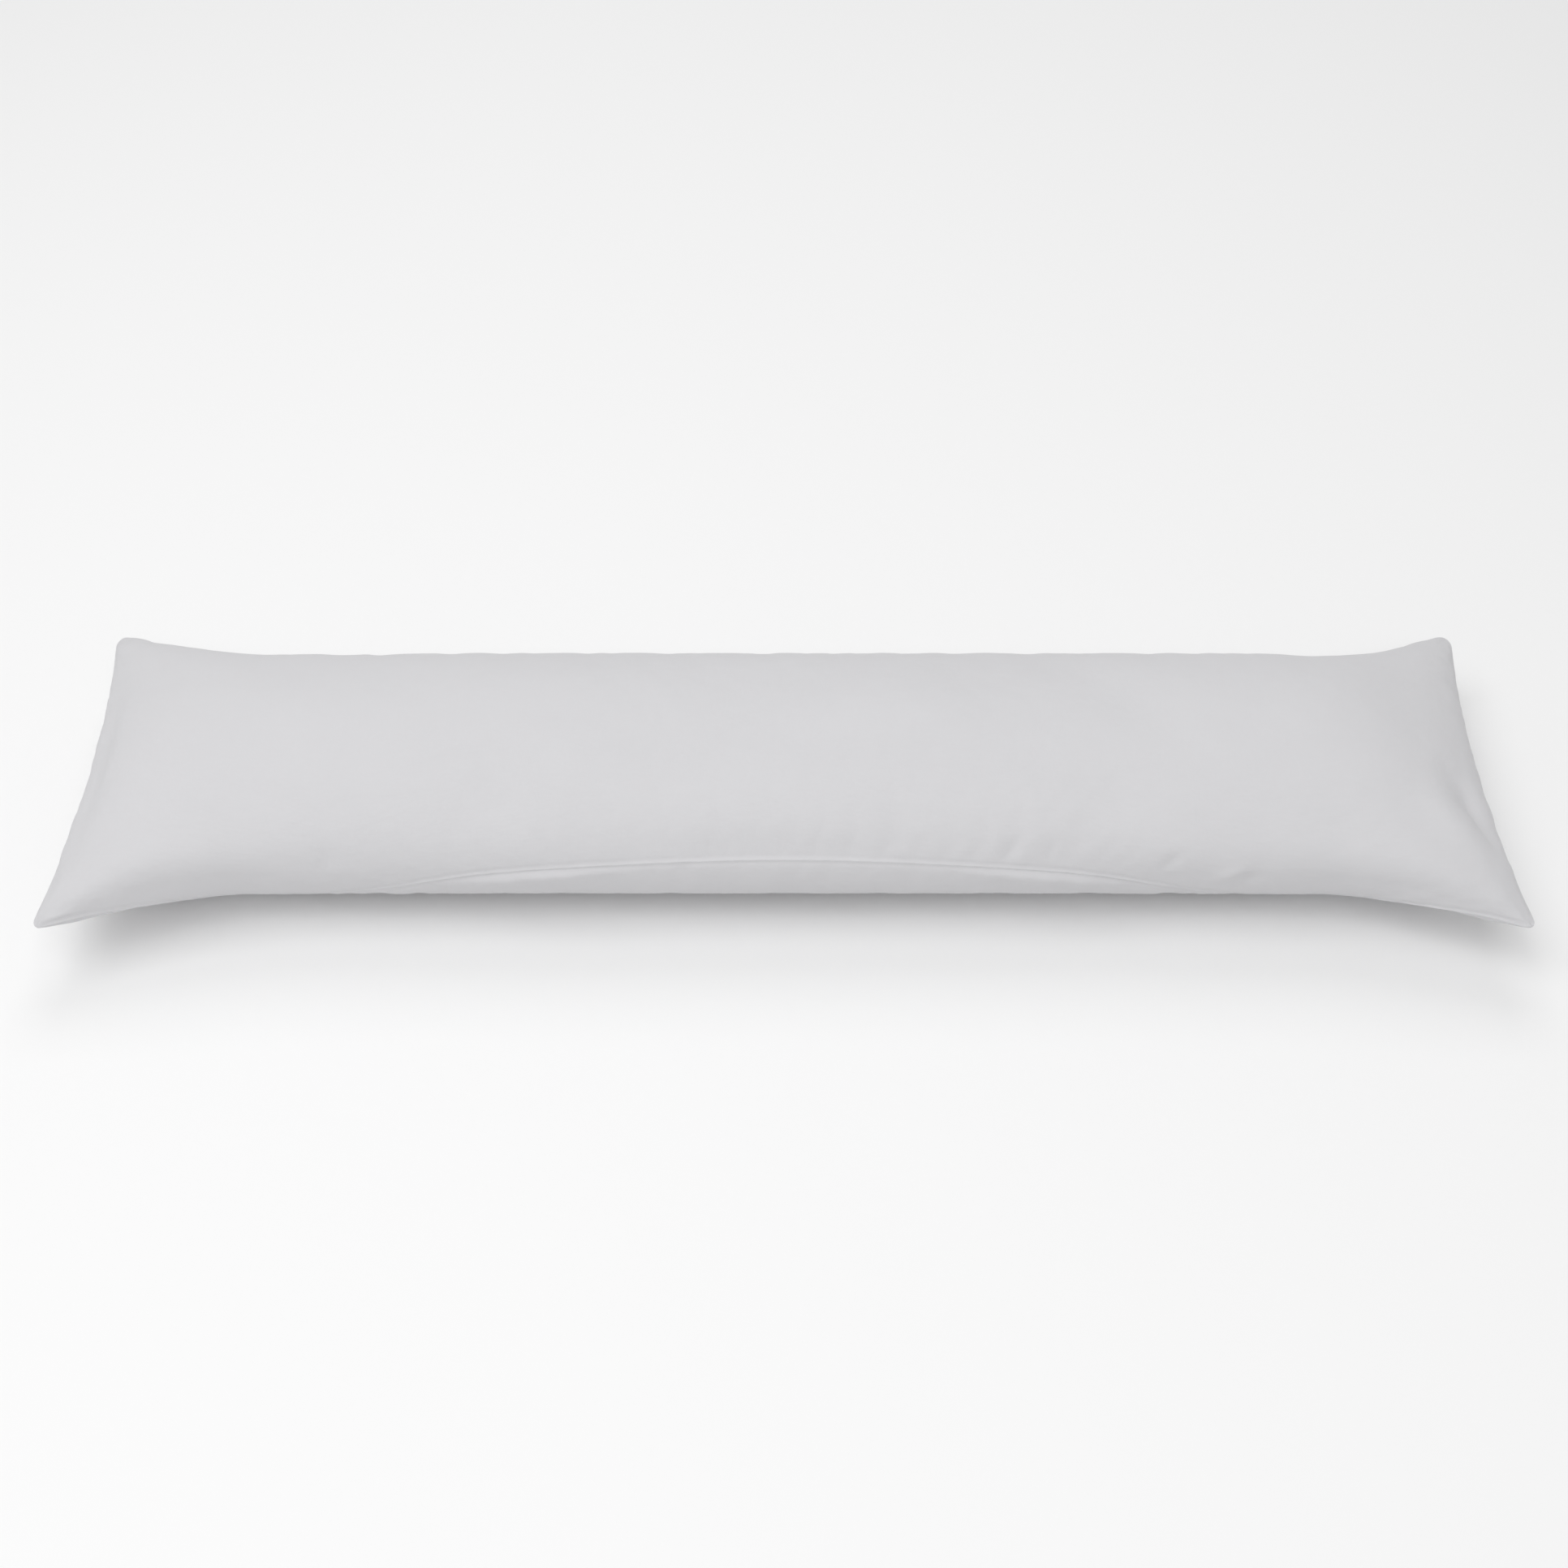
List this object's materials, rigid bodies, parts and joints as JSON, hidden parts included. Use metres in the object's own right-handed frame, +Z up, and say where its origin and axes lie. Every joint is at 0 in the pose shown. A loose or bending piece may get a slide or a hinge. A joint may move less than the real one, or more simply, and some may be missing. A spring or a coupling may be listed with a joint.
{
  "type": "body pillow",
  "caption": "Long filled body pillow lying on its back, with a rounded crown, drawn-in sides, a plain sewn edge and flared corners.",
  "frame": {"origin": "on the surface that the pillow lies on, below the middle of its box", "axes": "+X along the pillow, +Y from its front seam to its back seam, +Z up through the crown"},
  "size_m": [1.42, 0.3932, 0.1724],
  "materials": {
    "cotton": "smooth plain-woven cotton, light grey, matte with a faint soft sheen"
  },
  "bodies": {
    "root": {"pillow": "cotton"}
  },
  "joints": []
}
